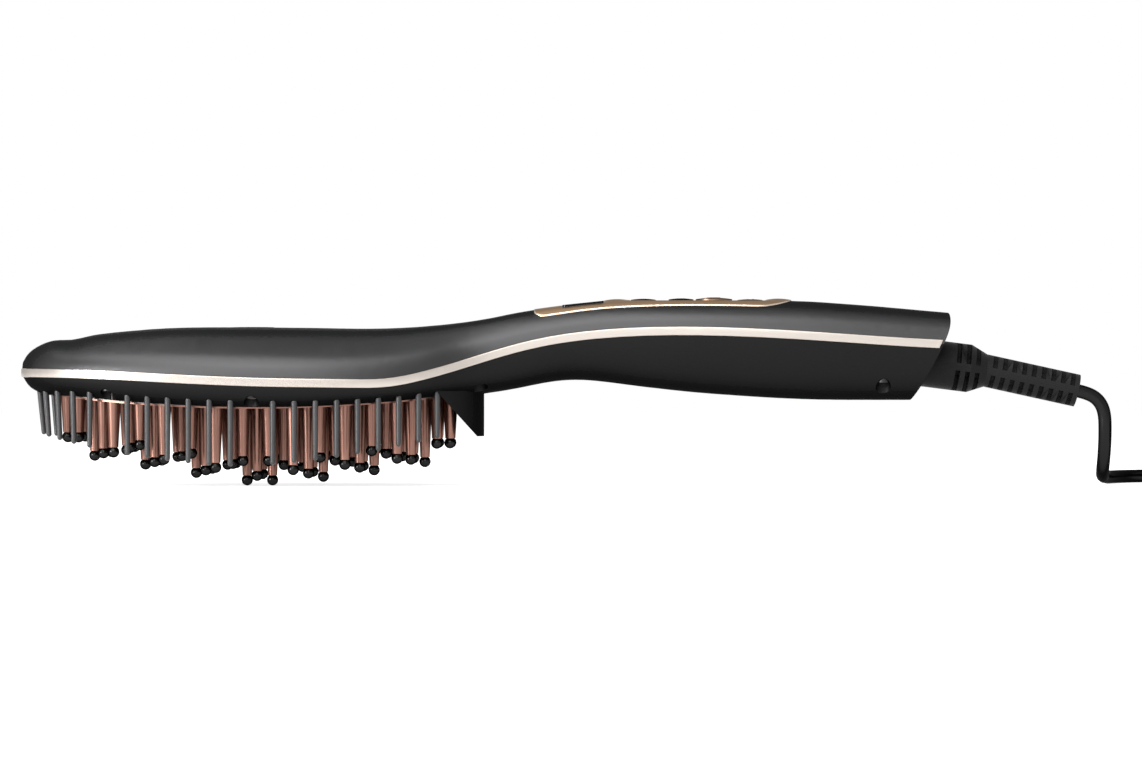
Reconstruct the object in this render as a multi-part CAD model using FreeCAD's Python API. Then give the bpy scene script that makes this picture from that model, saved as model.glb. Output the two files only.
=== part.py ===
import FreeCAD, Part

import math
import os

from FreeCAD import Vector

os.makedirs("parts", exist_ok=True)

# Heated hair brush, in millimetres. While it is built, X runs from the nose of the head to the cord,
# Y is across and Z is up, with Z = 0 at the lowest tooth tips. It is moved to its own origin at the end.

# ---- Driving dimensions: body ----
head_length = 150.0          # nose to throat
handle_length = 139.3        # throat to the upper rear corner
head_width = 69.0
oval_length = 148.0          # length of the oval that the head's plan follows
throat_width = 31.6
grip_width = 34.6
rear_width = 31.2
tooth_reach = 24.3           # lowest tooth tip to the heater plate's lowest point
wall = 2.2
end_wall = 2.4
band_height = 2.6
band_depth = 1.1             # how deep the trim band and the panel sit in the wall
proud = 0.25                 # how far the trim band and the panel stand out of the wall
seat_clearance = 0.05        # between pieces that drop into each other and don't move
dome_edge = 0.86             # where the raised dome on the head starts, as a part of the half width
dome_blend = 0.34

# ---- Heater plate, teeth, bristles ----
bristle_side_inset = 3.5     # bristle ring in from the head's widest line
bristle_end_inset = 5.0
bristle_pitch = 6.5
bristle_radius = 0.95
bristle_tip_radius = 0.8
bristle_hole_clearance = 0.08
bristle_lowest = 6.6         # height of the longest bristles' tips
bristle_rise = 10.4          # how much higher the tips stand at the two ends of the ring
bristle_lean = 5.5           # degrees, of the first bristle at the nose
leaning_bristles = 4
front_screw_slot = 5         # ring places that hold a screw instead of a bristle
middle_screw_slot = 12
plate_inset = 3.5            # heater plate's edge in from the bristle ring
plate_curve = 520.0          # radius of the plate's underside, seen from the side
plate_top = 6.9              # from the plate's lowest point to its top face
plate_flange = 1.6
flange_thickness = 1.0
frame_thickness = 0.8
frame_edge = 0.5             # the frame's lower edge above the plate's underside
frame_fit = 0.1
pocket_rim = 7.5
pocket_floor = 4.7
tooth_pitch = 3.98           # along the brush, between neighbouring tooth columns
row_pitch = 5.3              # across the brush, between tooth rows
tooth_radius = 2.3
tooth_end_radius = 1.5
ball_radius = 1.8
ball_seat = 3.2              # from a ball's lowest point to the flat it is seated by
short_tooth = 3.9            # how much shorter the teeth of every other row are
row_drop = 0.155             # how much shorter a tooth is for each millimetre off the middle row
front_rise = 7.7             # how much shorter the teeth are at the nose, and at the throat
rear_rise = 5.7

# ---- Throat guard and screws ----
guard_start = 130.0
guard_thickness = 2.6
guard_foot = 142.3
guard_tip = 8.8              # the guard's tip below the plate's lowest point
pillar_radius = 2.8
recess_radius = 2.35
recess_depth = 3.0
screw_radius = 1.1
screw_head_radius = 2.0
screw_head_height = 1.5
screw_bite = 6.0
screw_hole_clearance = 0.2
throat_screws = (143.3, 11.5)
rear_screws = (268.5, 11.0)

# ---- Controls ----
panel_front = 160.0
panel_rear = 240.5
panel_half_width = 11.6
panel_front_corner = 3.8
panel_rear_corner = 11.0
panel_swellings = (186.0, 236.4)
swelling_reach = 3.9
swelling_rise = 0.4
deck_drop = 0.5              # the flat between the swellings, below the panel's own crown
display_front = 168.8
display_length = 12.8
display_width = 15.0
display_corner = 1.2
display_ledge = 1.5
board_top = 25.4             # from the plate's lowest point to the control board's top face
board_thickness = 1.6
board_front = 163.0
board_length = 99.0
board_width = 19.0
board_posts = (185.5, 237.0)
board_post_radius = 2.0
display_height = 3.5
switch_size = 6.0
switch_height = 2.5
plunger_height = 0.8
button_travel = 0.6
button_gap = 0.3
button_lip = 0.6
button_lip_thickness = 0.8
button_lip_gap = 0.25        # under the wall that stops the button from lifting out
button_stem_radius = 1.5
# name: (place along the brush, radius, height above the handle's top line)
buttons = {
    "minus_button": (194.2, 3.9, 0.5),
    "plus_button": (206.0, 3.9, 0.5),
    "power_button": (216.3, 5.7, 0.75),
    "steam_button": (227.6, 3.9, 0.35),
}

# ---- Heater stack and water ----
heater_length = 32.0
heater_width = 16.0
heater_thickness = 3.0
heater_gap = 4.0             # half the space between the two heaters
insulation_thickness = 0.4
clamp_width = 31.0
clamp_thickness = 0.8
clamp_screw_x = 20.0
clamp_screw_y = 12.5
clamp_screw_head = 1.4
shield_inset = 9.0
shield_thickness = 0.6
tank_front = 32.0
tank_length = 80.0
tank_width = 38.0
tank_height = 6.9
tank_wall = 1.2
tank_corner = 4.0
layer_gap = 0.2
filler_place = 72.0
filler_radius = 6.5
filler_depth = 1.3
filler_stem_radius = 3.4
filler_stem_length = 7.0
neck_radius = 4.5
spigot_radius = 1.5
spigot_length = 4.0
pump_front = 180.0
pump_length = 24.0
pump_radius = 5.5
pump_height = 16.3           # axis above the plate's lowest point
tube_radius = 1.5
chamber_gap = 1.3            # from the front heater and its clamp to the steam chamber
chamber_length = 13.0
chamber_width = 16.0
chamber_height = 5.0

# ---- Cord, boot and plug ----
boot_tilt = 7.3              # degrees that the collar slopes down, and the ribbed sleeve after it
sleeve_tilt = 12.4
boot_exit = (290.3, 13.15)   # where the collar's axis leaves the handle: along, above the plate's lowest
collar_radius = 7.5
collar_end = 6.0
collar_taper = 5.2
sleeve_radius = 5.1
sleeve_length = 29.3
boot_core_radius = 3.3
boot_slot_pitch = 3.1
boot_slot_width = 1.5
boot_slots = 9
boot_rib = 2.4
boot_flange_radius = 8.7
cord_diameter = 4.2
cord_stub = 30.0
cord_first_run = 3.9         # from the boot to the route's first bend
lead_radius = 0.8
grip_place = 260.0
grip_post_y = 7.0
grip_bar = (5.0, 20.0, 2.4)
coil_centre = (402.0, 13.5)
coil_radius = 24.0
coil_rows = 3
coil_layers = 4
coil_turns = 12
tie_thickness = 0.8
tie_width = 12.0
plug_length = 36.0
plug_width = 35.3
plug_thickness = 13.7
plug_neck_radius = 3.6
pin_radius = 2.0
pin_length = 19.0
pin_spacing = 18.6
plug_place = (454.0, 13.5)

# The cord's route from the boot to the coil, and from the coil to the plug.
run_route = [(337.1, 0.0, 26.6), (338.8, 0.1, 22.9), (339.0, 0.4, 16.6), (339.0, 2.7, 9.7),
             (339.2, 8.4, 4.0), (340.6, 17.6, 2.1), (345.5, 28.0, 2.1), (354.5, 37.0, 2.1),
             (368.0, 41.5, 2.1), (386.0, 42.1, 2.1), (402.0, 41.7, 2.1)]
tail_route = [(402.0, 41.7, 14.7), (415.0, 42.0, 13.5), (428.0, 41.0, 10.7), (439.5, 37.6, 8.1),
              (448.8, 32.0, 6.95), (454.0, 23.0, 6.85), (454.0, 13.5, 6.85)]

far = 80.0                   # reach of the cutting blocks, past every surface of the body


def in_head(part):
    return part * head_length


def in_handle(part):
    return head_length + part * handle_length


# Side outlines: place along the brush, height above the heater plate's lowest point.
top_line = [(0.0, 14.7), (1.2, 16.6), (3.0, 18.3), (6.0, 20.0), (10.0, 21.2), (15.0, 21.4), (21.0, 22.6),
            (in_head(0.2), 23.8), (in_head(0.28), 24.8), (in_head(0.41), 25.3), (in_head(0.58), 25.1),
            (in_head(0.79), 25.1), (in_head(0.87), 26.0), (in_head(0.955), 27.6), (in_handle(0.04), 30.0),
            (in_handle(0.13), 31.8), (in_handle(0.225), 33.2), (in_handle(0.31), 33.7),
            (in_handle(0.43), 33.85), (in_handle(0.57), 33.7), (in_handle(0.665), 33.5),
            (in_handle(0.8), 32.3), (in_handle(0.935), 30.7), (in_handle(1.02), 29.6)]
bottom_line = [(0.0, 9.7), (1.2, 7.8), (3.0, 6.0), (6.0, 4.6), (11.0, 3.4), (in_head(0.14), 1.7),
               (in_head(0.2), 0.0), (in_head(0.27), -1.35), (in_head(0.37), -2.5), (in_head(0.47), -2.8),
               (in_head(0.56), -2.5), (in_head(0.65), -1.6), (in_head(0.74), -0.2), (in_head(0.82), 1.15),
               (in_head(0.89), 2.9), (in_head(0.96), 4.4), (in_handle(0.04), 6.3), (in_handle(0.125), 8.5),
               (in_handle(0.175), 8.8), (in_handle(0.265), 7.5), (in_handle(0.4), 5.3),
               (in_handle(0.535), 3.8), (in_handle(0.665), 2.8), (in_handle(0.915), 2.5),
               (in_handle(1.02), 2.5)]
seam_line = [(0.0, 11.0), (in_head(0.17), 10.4), (in_head(0.33), 9.2), (in_head(0.51), 8.1),
             (in_head(0.69), 7.7), (in_head(0.77), 8.0), (in_head(0.83), 9.7), (in_head(0.91), 13.1),
             (in_head(1.0), 17.3), (in_handle(0.085), 20.3), (in_handle(0.215), 22.9),
             (in_handle(0.36), 23.9), (in_handle(0.5), 23.7), (in_handle(0.68), 22.5),
             (in_handle(1.02), 19.7)]
dome_line = [(15.0, 0.0), (24.0, 0.9), (in_head(0.28), 2.0), (in_head(0.4), 2.3), (in_head(0.73), 2.2),
             (in_head(1.0), 0.8), (in_handle(0.18), 0.0)]
# Roundness of the upper and lower half of each cross-section: 2 is an ellipse, more is squarer.
upper_roundness = [(0.0, 2.1), (in_head(0.27), 2.3), (in_handle(1.02), 2.2)]
lower_roundness = [(0.0, 2.4), (in_head(0.2), 2.5), (in_head(1.0), 2.5), (in_handle(0.18), 2.2)]
# The handle's rear end, seen from the side: place along the brush, height.
end_line = [(in_handle(1.0) - 1.0, 35.0), (in_handle(1.0), 26.6), (in_handle(1.0) - 3.0, 18.7),
            (in_handle(1.0) - 9.2, 6.7), (in_handle(1.0) - 13.1, 0.0), (in_handle(1.0) - 16.5, -6.0)]

oval_half = oval_length / 2
half_width = head_width / 2
ring_x = oval_half - bristle_end_inset
ring_y = half_width - bristle_side_inset
oval_centre = oval_half
body_rear = in_handle(1.02)
nose_cap = 0.45              # the oval is cut off this far in, which leaves a small flat at the nose
neck_start = in_head(0.875)
neck_end = in_handle(0.055)
section_points = 40
stations = [0.0, 1.2, 3.0, 6.0, 10.0, 15.0, 21.0] + [in_head(part) for part in (
    0.2, 0.28, 0.39, 0.51, 0.63, 0.72, 0.8, 0.86, 0.915, 0.975)] + [in_handle(part) for part in (
        0.035, 0.09, 0.15, 0.21, 0.28, 0.35, 0.43, 0.51, 0.59, 0.67, 0.75, 0.83, 0.9, 0.96, 1.02)]


def at(line, x):
    """Height of a smooth curve through the points of a line."""
    if x <= line[0][0]:
        return line[0][1]
    if x >= line[-1][0]:
        return line[-1][1]
    last = len(line) - 1
    steps = [(line[i + 1][1] - line[i][1]) / (line[i + 1][0] - line[i][0]) for i in range(last)]

    def slope(i):
        if i == 0 or i == last:
            return steps[0] if i == 0 else steps[-1]
        before = line[i][0] - line[i - 1][0]
        after = line[i + 1][0] - line[i][0]
        return (steps[i - 1] * after + steps[i] * before) / (before + after)

    i = max(k for k in range(last) if line[k][0] <= x)
    return hermite(x, line[i], line[i + 1], slope(i), slope(i + 1))


def hermite(x, start, end, start_slope, end_slope):
    span = end[0] - start[0]
    t = (x - start[0]) / span
    return ((2 * t**3 - 3 * t**2 + 1) * start[1] + (t**3 - 2 * t**2 + t) * span * start_slope
            + (3 * t**2 - 2 * t**3) * end[1] + (t**3 - t**2) * span * end_slope)


def half_width_at(x):
    """Half width of the body in plan: an oval head that flows into the handle."""
    offset = (max(x, nose_cap) - oval_centre) / oval_half
    if x <= neck_start:
        return half_width * math.sqrt(1 - offset**2)
    handle = [(neck_end, throat_width / 2), (in_handle(0.13), throat_width / 2),
              (in_handle(0.465), grip_width / 2), (in_handle(0.71), grip_width / 2 - 0.2),
              (body_rear, rear_width / 2)]
    if x >= neck_end:
        return at(handle, x)
    offset = (neck_start - oval_centre) / oval_half
    start = half_width * math.sqrt(1 - offset**2)
    start_slope = -half_width * offset / oval_half / math.sqrt(1 - offset**2)
    return hermite(x, (neck_start, start), handle[0], start_slope, 0.0)


def height(line, x):
    return tooth_reach + at(line, x)


def section(x, grow):
    """Points round the body's cross-section, grown outwards or shrunk by a wall."""
    seam = height(seam_line, x)
    top = height(top_line, x) + grow
    bottom = height(bottom_line, x) - grow
    width = half_width_at(x) + grow
    dome = at(dome_line, x)
    place = x
    if x < oval_centre:
        place = oval_centre - (oval_centre - x) * (oval_half + grow) / oval_half
    points = []
    for i in range(section_points):
        angle = 2 * math.pi * i / section_points
        along = math.cos(angle)
        up = math.sin(angle)
        power = 2 / at(upper_roundness if up >= 0 else lower_roundness, x)
        y = width * math.copysign(abs(along)**power, along)
        if up >= 0:
            t = min(max((dome_edge - abs(y) / width) / dome_blend, 0), 1)
            z = seam + (top - dome - seam) * up**power + dome * t * t * (3 - 2 * t)
        else:
            z = seam - (seam - bottom) * abs(up)**power
        points.append(Vector(place, y, z))
    return points


def body(grow, first_station=0):
    """The whole body's outer form as one smooth solid."""
    spacing = section(oval_centre, 0)
    knots = [0.0]
    for i in range(section_points):
        step = spacing[(i + 1) % section_points] - spacing[i]
        knots.append(knots[-1] + math.sqrt(step.Length))
    knots = [knot / knots[-1] for knot in knots]
    wires = []
    for x in stations[first_station:]:
        curve = Part.BSplineCurve()
        curve.interpolate(Points=section(x, grow), PeriodicFlag=True, Parameters=knots)
        wires.append(Part.Wire([curve.toShape()]))
    return Part.makeLoft(wires, True, False, False)


def spline(points):
    curve = Part.BSplineCurve()
    curve.interpolate(points)
    return curve.toShape()


def slab(edges):
    """Solid across the whole width from an outline drawn in the side view."""
    face = Part.Face(Part.Wire(Part.__sortEdges__(edges)))
    return face.extrude(Vector(0, 2 * far, 0))


def side(x, z):
    return Vector(x, -far, z)


def seam_edge(offset):
    points = [side(-far / 4, height(seam_line, 0) + offset)]
    points += [side(x, tooth_reach + z + offset) for x, z in seam_line]
    points.append(side(body_rear + far / 4, height(seam_line, body_rear) + offset))
    return spline(points), points[0], points[-1]


def seam_block(low, high):
    """Everything between two heights above the seam."""
    lower, lower_start, lower_end = seam_edge(low)
    upper, upper_start, upper_end = seam_edge(high)
    return slab([lower, upper, Part.makeLine(lower_start, upper_start), Part.makeLine(lower_end, upper_end)])


def in_front_of_end(setback):
    """Everything in front of the handle's rear end, moved forward by a setback."""
    points = [side(x - setback, tooth_reach + z) for x, z in end_line]
    corner_top = side(-far, points[0].z)
    corner_bottom = side(-far, points[-1].z)
    return slab([spline(points), Part.makeLine(points[0], corner_top),
                 Part.makeLine(corner_top, corner_bottom), Part.makeLine(corner_bottom, points[-1])])


def cylinder(radius, low, high, x, y=0.0):
    return Part.makeCylinder(radius, high - low, Vector(x, y, low))


def box(x0, x1, y0, y1, z0, z1):
    return Part.makeBox(x1 - x0, y1 - y0, z1 - z0, Vector(x0, y0, z0))


def oval(grow, low, high):
    """Upright oval block, parallel to the bristle ring."""
    ellipse = Part.Ellipse(Vector(oval_centre, 0, low), ring_x + grow, ring_y + grow)
    return Part.Face(Part.Wire([ellipse.toShape()])).extrude(Vector(0, 0, high - low))


def oval_ring(outer, inner, low, high):
    return oval(outer, low, high).cut(oval(inner, low - 1, high + 1))


def turned(points, x=0.0, y=0.0):
    """Solid turned about an upright axis from (radius, height) points; three in a row make an arc."""
    edges = []
    places = [[Vector(r, 0, z) for r, z in run] for run in points]
    for run in places:
        if len(run) == 3:
            edges.append(Part.Arc(*run).toShape())
        else:
            edges.append(Part.makeLine(*run))
    solid = Part.Face(Part.Wire(edges)).revolve(Vector(0, 0, 0), Vector(0, 0, 1), 360)
    solid.translate(Vector(x, y, 0))
    return solid


def join(solids):
    return solids[0].multiFuse(solids[1:]).removeSplitter()


def surface(x, y, grow, upper):
    """Height of the body's upper or lower face, away from the dome, grown or shrunk by a wall."""
    seam = height(seam_line, x)
    if upper:
        edge = height(top_line, x) + grow
        power = at(upper_roundness, x)
    else:
        edge = height(bottom_line, x) - grow
        power = at(lower_roundness, x)
    return seam + (edge - seam) * (1 - (abs(y) / (half_width_at(x) + grow))**power)**(1 / power)


def plate_under(x):
    """Height of the heater plate's curved underside."""
    return tooth_reach + plate_curve - math.sqrt(plate_curve**2 - (x - oval_centre)**2)


def ring_places():
    """Equally spaced places round one side of the bristle ring, from the nose to the guard."""
    places = []
    travelled = 0.0
    steps = 4000
    previous = (oval_centre - ring_x, 0.0)
    wanted = bristle_pitch / 2
    for i in range(1, steps + 1):
        angle = math.pi * i / steps
        place = (oval_centre - ring_x * math.cos(angle), -ring_y * math.sin(angle))
        travelled += math.dist(place, previous)
        previous = place
        if travelled >= wanted and place[0] <= guard_start + 1.0:
            places.append(place)
            wanted += bristle_pitch
    return places


def screw_places():
    ring = ring_places()
    places = [ring[front_screw_slot], ring[middle_screw_slot], throat_screws, rear_screws]
    return [(x, side_sign * abs(y)) for x, y in places for side_sign in (-1, 1)]


def bristle_frames():
    """Each bristle's place, the height of its tip, and its lean in degrees."""
    frames = []
    for slot, (x, y) in enumerate(ring_places()):
        if slot in (front_screw_slot, middle_screw_slot):
            continue
        along = abs(x - oval_centre + 4) / ring_x
        tip = bristle_lowest + bristle_rise * along**1.6
        lean = bristle_lean * max(0, leaning_bristles - slot) / leaning_bristles
        frames += [(x, y, tip, lean), (x, -y, tip, lean)]
    return frames


rail_bottom = tooth_reach + plate_top


def pin(x, y, tip, lean, top_radius, tip_radius):
    """Tapered bristle with a rounded end, leaning towards the throat at its tip."""
    centre = tip + tip_radius
    corner = tip_radius * math.sqrt(0.5)
    solid = turned([[(0, rail_bottom), (top_radius, rail_bottom)], [(top_radius, rail_bottom),
                    (tip_radius, centre)], [(tip_radius, centre), (corner, centre - corner), (0, tip)],
                    [(0, tip), (0, rail_bottom)]], x, y)
    solid.rotate(Vector(x, y, rail_bottom), Vector(0, 1, 0), -lean)
    return solid


def bristle_holes():
    grow = bristle_hole_clearance
    low = tooth_reach - 2 * wall
    return [pin(x, y, low, lean, bristle_radius + grow, bristle_radius + grow)
            for x, y, tip, lean in bristle_frames()]


def tooth_places():
    """Column, distance from the middle row, and whether the tooth is a short one."""
    rows = {0: (1, 5, 9, 13), 1: (2, 6, 10), 2: (4, 8, 12), 3: (1, 5, 9), 4: (3, 7)}
    places = [(0, 2 * row_pitch, False)]
    for row, columns in rows.items():
        places += [(column, row * row_pitch, row % 2 == 1) for column in columns]
    places += [(11, 3.36 * row_pitch, False), (14, 1.55 * row_pitch, True), (15, 0.66 * row_pitch, True)]
    teeth = []
    for column, y, short in places:
        for sign_x in ((-1, 1) if column else (1,)):
            for sign_y in ((-1, 1) if y else (1,)):
                teeth.append((sign_x * column, sign_y * y, short))
    return teeth


def ball_bottom(column, y, short):
    rise, power = (front_rise, 1.1) if column < 0 else (rear_rise, 1.5)
    lift = rise * (max(abs(column) - 1, 0) / 12)**power
    return lift + row_drop * abs(y) + (short_tooth if short else 0.0)


def make_teeth():
    """Tapered heating teeth, trimmed to the plate's curved underside, and their ball tips."""
    shafts = []
    balls = []
    for column, y, short in tooth_places():
        x = oval_centre + column * tooth_pitch
        bottom = ball_bottom(column, y, short)
        end = bottom + ball_seat
        root = plate_under(x) + 1.0
        shafts.append(Part.makeCone(tooth_end_radius, tooth_radius, root - end, Vector(x, y, end)))
        cap_angle = math.degrees(math.asin((ball_seat - ball_radius) / ball_radius))
        balls.append(Part.makeSphere(ball_radius, Vector(x, y, bottom + ball_radius), Vector(0, 0, 1),
                                     -90, cap_angle, 360))
    below = box(0, in_head(1.0), -far, far, -far, far).common(under_plate_block())
    shafts = [shaft.common(below) for shaft in shafts]
    return Part.makeCompound(shafts), Part.makeCompound(balls)


def under_plate_block():
    """Everything below the plate's underside."""
    centre = Vector(oval_centre, -far, tooth_reach + plate_curve)
    barrel = Part.makeCylinder(plate_curve, 2 * far, centre, Vector(0, 1, 0))
    block = box(0, in_head(1.0), -far, far, -far, tooth_reach + plate_top)
    return block.cut(barrel)


def make_plate():
    """Die-cast heater plate with a curved underside, a flange, a pocket and four screw posts."""
    top = tooth_reach + plate_top
    grow = -plate_inset
    plate = oval(grow, tooth_reach - 1, top).cut(under_plate_block())
    flange = oval(grow + plate_flange, top - flange_thickness, top).common(cavity)
    pocket_face = tooth_reach + pocket_floor
    plate = plate.fuse(flange).cut(oval(grow - pocket_rim, pocket_face, top + 1))
    posts = []
    for x, y in clamp_screw_places():
        posts.append(cylinder(2.5, pocket_face - 0.5, heater_top + insulation_thickness, x, y))
    plate = join([plate] + posts)
    for x, y in clamp_screw_places():
        plate = plate.cut(cylinder(screw_radius, heater_top - 2, far, x, y))
    for x, y in screw_places():
        plate = plate.cut(cylinder(pillar_radius + 2 * seat_clearance, top - flange_thickness, far, x, y))
    for column, row in steam_holes:
        plate = plate.cut(cylinder(0.8, 0, pocket_face + 1, oval_centre + column * tooth_pitch,
                                   row * row_pitch))
    return plate


steam_holes = [(-11, 0), (-12, 1), (-12, -1), (-10, 0)]
clamp_half = heater_gap + heater_length
chamber_place = oval_centre - clamp_half - chamber_gap - chamber_length / 2
pocket_z = tooth_reach + pocket_floor
heater_top = pocket_z + heater_thickness


def clamp_screw_places():
    return [(oval_centre + sx * clamp_screw_x, sy * clamp_screw_y) for sx in (-1, 1) for sy in (-1, 1)]


def make_heater_stack():
    """Ceramic heaters, insulation, clamp plate, its screws and the heat shield, in their order upwards."""
    heaters = []
    for sign in (-1, 1):
        middle = oval_centre + sign * (heater_gap + heater_length / 2)
        heaters.append(box(middle - heater_length / 2, middle + heater_length / 2,
                           -heater_width / 2, heater_width / 2, pocket_z, heater_top))
    clamp_bottom = heater_top + insulation_thickness
    clamp_top = clamp_bottom + clamp_thickness
    sheet = box(oval_centre - clamp_half, oval_centre + clamp_half, -clamp_width / 2 + 6,
                clamp_width / 2 - 6, heater_top, clamp_bottom)
    clamp = box(oval_centre - clamp_half, oval_centre + clamp_half, -clamp_width / 2, clamp_width / 2,
                clamp_bottom, clamp_top)
    screws = []
    for x, y in clamp_screw_places():
        sheet = sheet.cut(cylinder(2.5 + layer_gap, 0, far, x, y))
        clamp = clamp.cut(cylinder(screw_radius + screw_hole_clearance, 0, far, x, y))
        screws.append(cylinder(screw_head_radius, clamp_top, clamp_top + clamp_screw_head, x, y).fuse(
            cylinder(screw_radius, heater_top - 2, clamp_top, x, y)))
    shield_bottom = clamp_top + clamp_screw_head + layer_gap
    shield = oval(-shield_inset, shield_bottom, shield_bottom + shield_thickness)
    shield = shield.cut(box(0, chamber_place + chamber_length / 2 + 1, -far, far, 0, far))
    for x, y in screw_places():
        shield = shield.cut(cylinder(pillar_radius + layer_gap, 0, far, x, y))
    nodes["ceramic_heaters"] = Part.makeCompound(heaters)
    nodes["insulation_sheet"] = sheet
    nodes["heater_clamp"] = clamp
    nodes["clamp_screws"] = Part.makeCompound(screws)
    nodes["heat_shield"] = shield
    nodes["temperature_sensor"] = box(oval_centre - 2.5, oval_centre + 2.5, -2.0, 2.0, pocket_z,
                                      pocket_z + 2.2)
    nodes["thermal_fuse"] = Part.makeCylinder(1.4, 9.6, Vector(oval_centre + clamp_half + 6, -4.8,
                                                               pocket_z + 1.4), Vector(0, 1, 0))
    return shield_bottom + shield_thickness


def make_water_system(shield_top):
    """Tank with its filler neck, the plug, the pump, the steam chamber and the tubes between them."""
    bottom = shield_top + layer_gap
    top = bottom + tank_height
    half = tank_width / 2
    tank = box(tank_front, tank_front + tank_length, -half, half, bottom, top)
    upright = [edge for edge in tank.Edges if abs(edge.tangentAt(edge.FirstParameter).z) > 0.9]
    tank = tank.makeFillet(tank_corner, upright)
    hollow = box(tank_front + tank_wall, tank_front + tank_length - tank_wall, -half + tank_wall,
                 half - tank_wall, bottom + tank_wall, top - tank_wall)
    seat = height(top_line, filler_place) - filler_depth
    tank = tank.fuse(cylinder(neck_radius, top - tank_wall, seat, filler_place)).cut(hollow)
    tank = tank.cut(cylinder(filler_stem_radius + 0.1, top - 2 * tank_wall, seat + 1, filler_place))
    spigot_z = bottom + tank_height / 2
    tank_rear = tank_front + tank_length
    spigot = Part.makeCylinder(spigot_radius, spigot_length + tank_wall,
                               Vector(tank_rear - tank_wall, -3, spigot_z), Vector(1, 0, 0))
    bore = Part.makeCylinder(spigot_radius / 2, spigot_length + 3 * tank_wall,
                             Vector(tank_rear - 2 * tank_wall, -3, spigot_z), Vector(1, 0, 0))
    nodes["water_tank"] = tank.fuse(spigot).cut(bore)

    plug_top = height(top_line, filler_place)
    nodes["filler_plug"] = cylinder(filler_radius, seat, plug_top, filler_place).fuse(
        cylinder(filler_stem_radius, seat - filler_stem_length, seat, filler_place))

    pump_z = tooth_reach + pump_height
    pump = Part.makeCylinder(pump_radius, pump_length, Vector(pump_front, 0, pump_z), Vector(1, 0, 0))
    for y in (-3, 3):
        pump = pump.fuse(Part.makeCylinder(spigot_radius, spigot_length,
                                           Vector(pump_front - spigot_length, y, pump_z),
                                           Vector(1, 0, 0)))
    nodes["steam_pump"] = pump

    chamber_top = pocket_z + chamber_height
    inlet_x = chamber_place - chamber_length / 2
    chamber_rear = chamber_place + chamber_length / 2
    chamber = box(inlet_x, chamber_rear, -chamber_width / 2, chamber_width / 2, pocket_z, chamber_top)
    nodes["steam_chamber"] = chamber.cut(box(inlet_x + 1, chamber_rear - 1, -chamber_width / 2 + 1,
                                             chamber_width / 2 - 1, pocket_z - 1, chamber_top - 1))

    spigot_end = tank_rear + spigot_length
    pump_inlet = pump_front - spigot_length
    supply = tube([(spigot_end, -3, spigot_z), (spigot_end + 12, -3, spigot_z + 0.6),
                   (in_head(1.0), -3, spigot_z + 6.5), (in_handle(0.1), -3, pump_z + 2.5),
                   (pump_inlet - 5, -3, pump_z), (pump_inlet, -3, pump_z)], tube_radius, 0.3)
    tube_z = bottom + 2.0
    feed = tube([(pump_inlet, 3, pump_z), (pump_inlet - 5, 3, pump_z),
                 (in_handle(0.1), 3, pump_z + 2.5), (in_head(1.0), 4, spigot_z + 6.5),
                 (tank_rear + 13, 11, tube_z + 3), (tank_rear - 6, half + 4, tube_z),
                 (filler_place, half + 4.5, tube_z), (tank_front + tank_corner, half + 4, tube_z),
                 (tank_front - 6, half - 5.5, tube_z - 1), (inlet_x - 6, 2, pocket_z + chamber_height / 2),
                 (inlet_x, 2, pocket_z + chamber_height / 2)], tube_radius, 0.3)
    nodes["water_tubes"] = Part.makeCompound([supply, feed])


def rounded_path(points, share):
    """Straight runs joined by tangent arcs that take a share of the shorter run at each corner."""
    places = [Vector(*point) for point in points]
    edges = []
    radii = []
    start = places[0]
    for before, corner, after in zip(places, places[1:], places[2:]):
        to_before = (before - corner).normalize()
        to_after = (after - corner).normalize()
        reach = share * min((before - corner).Length, (after - corner).Length)
        half_turn = (math.pi - to_before.getAngle(to_after)) / 2
        radius = reach / math.tan(half_turn)
        radii.append(round(radius, 1))
        arc_start = corner + to_before * reach
        arc_end = corner + to_after * reach
        middle_way = (to_before + to_after).normalize()
        middle = corner + middle_way * (radius / math.cos(half_turn) - radius)
        edges.append(Part.makeLine(start, arc_start))
        edges.append(Part.Arc(arc_start, middle, arc_end).toShape())
        start = arc_end
    edges.append(Part.makeLine(start, places[-1]))
    return Part.Wire(edges), radii


def tube(points, radius, share=0.45):
    path, radii = rounded_path(points, share)
    first = Vector(*points[0])
    profile = Part.Wire([Part.makeCircle(radius, first, Vector(*points[1]) - first)])
    return path.makePipeShell([profile], True, True)


def cord_tube(name, points):
    path, radii = rounded_path(points, 0.45)
    solid = tube(points, cord_diameter / 2)
    section_area = math.pi * cord_diameter**2 / 4
    print(name, "length", round(path.Length, 1), "least radius", min(radii), "all", radii,
          "volume ratio", round(solid.Volume / (section_area * path.Length), 4))
    return solid, path.Length


nodes = {}
housing = body(0.0).common(in_front_of_end(0.0))
cavity = body(-wall, 2).common(in_front_of_end(end_wall))
inset = body(-band_depth)
raised = body(proud)
shell = housing.cut(cavity)

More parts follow.
